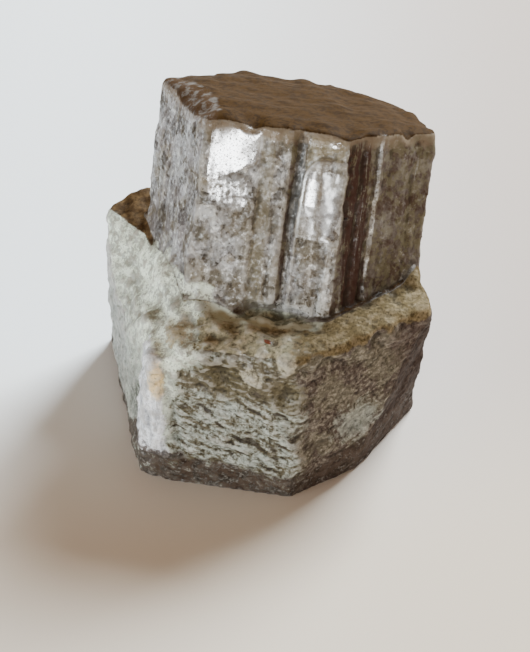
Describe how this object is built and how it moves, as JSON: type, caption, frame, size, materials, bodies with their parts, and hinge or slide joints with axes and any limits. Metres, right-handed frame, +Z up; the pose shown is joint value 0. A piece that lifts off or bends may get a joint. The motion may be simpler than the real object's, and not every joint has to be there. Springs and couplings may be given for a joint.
{
  "type": "aragonite specimen",
  "caption": "Aragonite twin specimen: a leaning striated pseudo-hexagonal crystal with a brown flat top, grown out of a wider stubby crystal with a ledge and a broken flat foot",
  "frame": {"origin": "centre of the specimen's box at the level of its flat foot", "axes": "+Z up, -Y towards the front corner of the lower crystal as pictured, +X to the right as seen from the front"},
  "size_m": [0.0344, 0.0354, 0.0372],
  "materials": {
    "aragonite": "mottled grey-brown stone, matt brown on the top, with pale grey-green growth low on the left and glassy patches on the front"
  },
  "bodies": {
    "root": {"aragonite_twin": "aragonite"}
  },
  "joints": []
}
